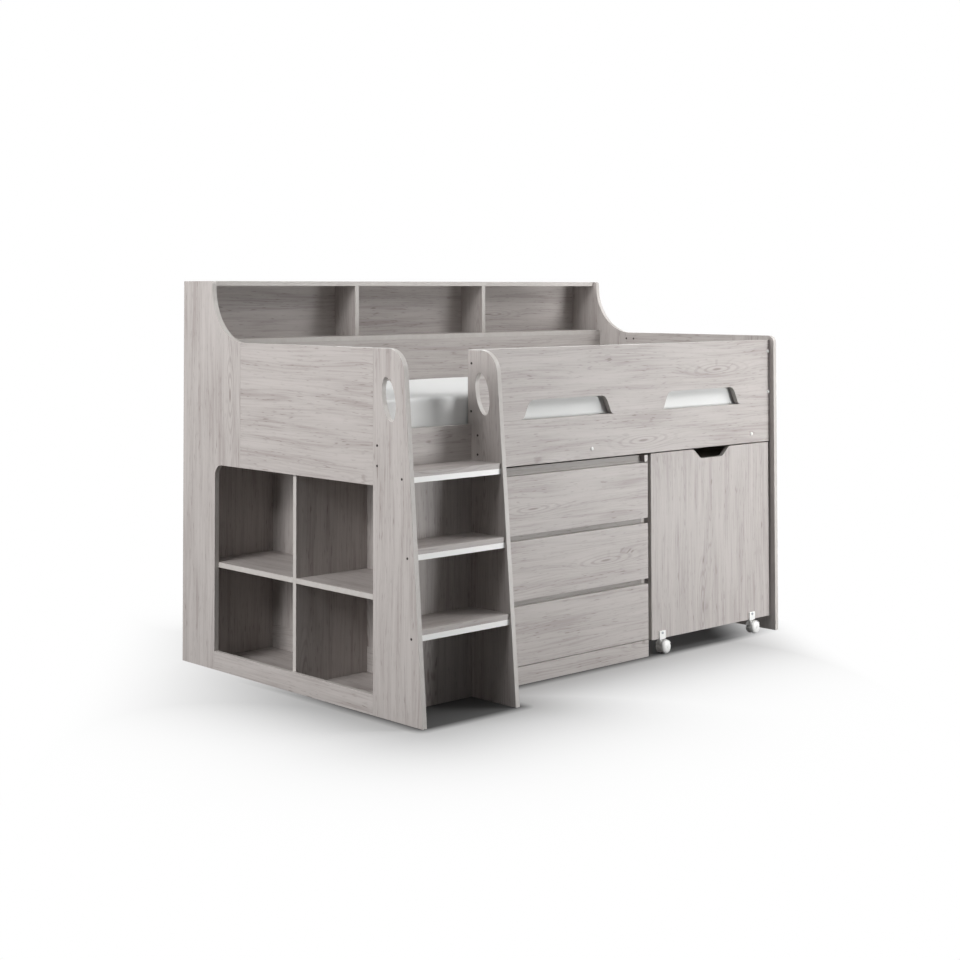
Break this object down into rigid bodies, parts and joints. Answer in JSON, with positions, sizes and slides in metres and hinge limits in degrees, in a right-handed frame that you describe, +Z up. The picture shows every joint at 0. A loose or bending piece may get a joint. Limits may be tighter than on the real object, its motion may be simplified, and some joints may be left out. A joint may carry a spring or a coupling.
{
  "type": "mid sleeper bed",
  "caption": "Mid sleeper bed with a leaning ladder, cube storage in its end, a bookcase along its back, drawers, a pull-out desk on castors and a mattress.",
  "frame": {"origin": "on the floor under the middle of the bed's bounding box", "axes": "+X along the bed from the ladder end to the desk end, +Y to the back (wall) side, +Z up"},
  "size_m": [2.04, 1.352, 1.393],
  "materials": {
    "oak_board": "grey oak effect melamine, vertical and horizontal boards",
    "oak_board_flat": "grey oak effect melamine, lying boards",
    "white_plastic": "matt white plastic or lacquer",
    "mattress_fabric": "plain white knitted cover",
    "pine": "planed softwood",
    "zinc_steel": "zinc grey steel"
  },
  "bodies": {
    "bed": {"left_back_post": "oak_board", "left_end_panel": "oak_board", "left_bottom_rail": "oak_board", "ladder_left_side": "oak_board", "ladder_right_side": "oak_board", "ladder_treads": "oak_board_flat", "tread_rails": "white_plastic", "short_front_rail": "oak_board", "ladder_back_wall": "oak_board", "right_back_post": "oak_board", "right_end_panel": "oak_board", "right_front_post": "oak_board", "right_bottom_rail": "oak_board", "bookcase_top": "oak_board_flat", "bookcase_shelf": "oak_board_flat", "bookcase_back": "oak_board", "bookcase_dividers": "oak_board", "rear_guard_panel": "oak_board", "rear_side_rail": "oak_board", "lower_guard": "oak_board", "upper_guard": "oak_board", "slat_bearers": "pine", "bed_slats": "pine", "mattress": "mattress_fabric", "cube_rear_side": "oak_board", "cube_inner_end": "oak_board", "cube_inner_rail_board": "oak_board", "cube_divider": "oak_board", "cube_shelves": "oak_board_flat", "cube_base": "oak_board_flat", "cube_top": "oak_board_flat", "chest_sides": "oak_board", "chest_back": "oak_board", "chest_top": "oak_board_flat", "chest_rails": "oak_board", "chest_plinth": "oak_board", "chest_runners": "zinc_steel", "desk_cleats": "oak_board", "screw_caps": "white_plastic"},
    "top_drawer": {"drawer_top_front": "oak_board", "drawer_top_box": "oak_board", "drawer_top_bottom": "oak_board", "drawer_top_slides": "zinc_steel"},
    "middle_drawer": {"drawer_middle_front": "oak_board", "drawer_middle_box": "oak_board", "drawer_middle_bottom": "oak_board", "drawer_middle_slides": "zinc_steel"},
    "bottom_drawer": {"drawer_bottom_front": "oak_board", "drawer_bottom_box": "oak_board", "drawer_bottom_bottom": "oak_board", "drawer_bottom_slides": "zinc_steel"},
    "desk": {"desk_top": "oak_board_flat", "desk_front": "oak_board", "desk_aprons": "oak_board", "castor_brackets": "white_plastic"},
    "left_castor": {"castor_left_fork": "white_plastic"},
    "left_castor_wheels": {"castor_left_wheels": "white_plastic"},
    "right_castor": {"castor_right_fork": "white_plastic"},
    "right_castor_wheels": {"castor_right_wheels": "white_plastic"}
  },
  "joints": [
    {"name": "top_drawer_slide", "type": "slide", "parent": "bed", "child": "top_drawer", "axis": [0, -1, 0], "range_m": [0, 0.3]},
    {"name": "middle_drawer_slide", "type": "slide", "parent": "bed", "child": "middle_drawer", "axis": [0, -1, 0], "range_m": [0, 0.3]},
    {"name": "bottom_drawer_slide", "type": "slide", "parent": "bed", "child": "bottom_drawer", "axis": [0, -1, 0], "range_m": [0, 0.3]},
    {"name": "desk_slide", "type": "slide", "parent": "bed", "child": "desk", "axis": [0, -1, 0], "range_m": [0, 0.45]},
    {"name": "left_castor_swivel", "type": "hinge", "parent": "desk", "child": "left_castor", "pos_m": [0.343, -0.454, 0.0565], "axis": [0, 0, 1], "continuous": true},
    {"name": "left_castor_roll", "type": "hinge", "parent": "left_castor", "child": "left_castor_wheels", "pos_m": [0.359, -0.454, 0.024], "axis": [0, 1, 0], "continuous": true},
    {"name": "right_castor_swivel", "type": "hinge", "parent": "desk", "child": "right_castor", "pos_m": [0.878, -0.454, 0.0565], "axis": [0, 0, 1], "continuous": true},
    {"name": "right_castor_roll", "type": "hinge", "parent": "right_castor", "child": "right_castor_wheels", "pos_m": [0.894, -0.454, 0.024], "axis": [0, 1, 0], "continuous": true}
  ]
}
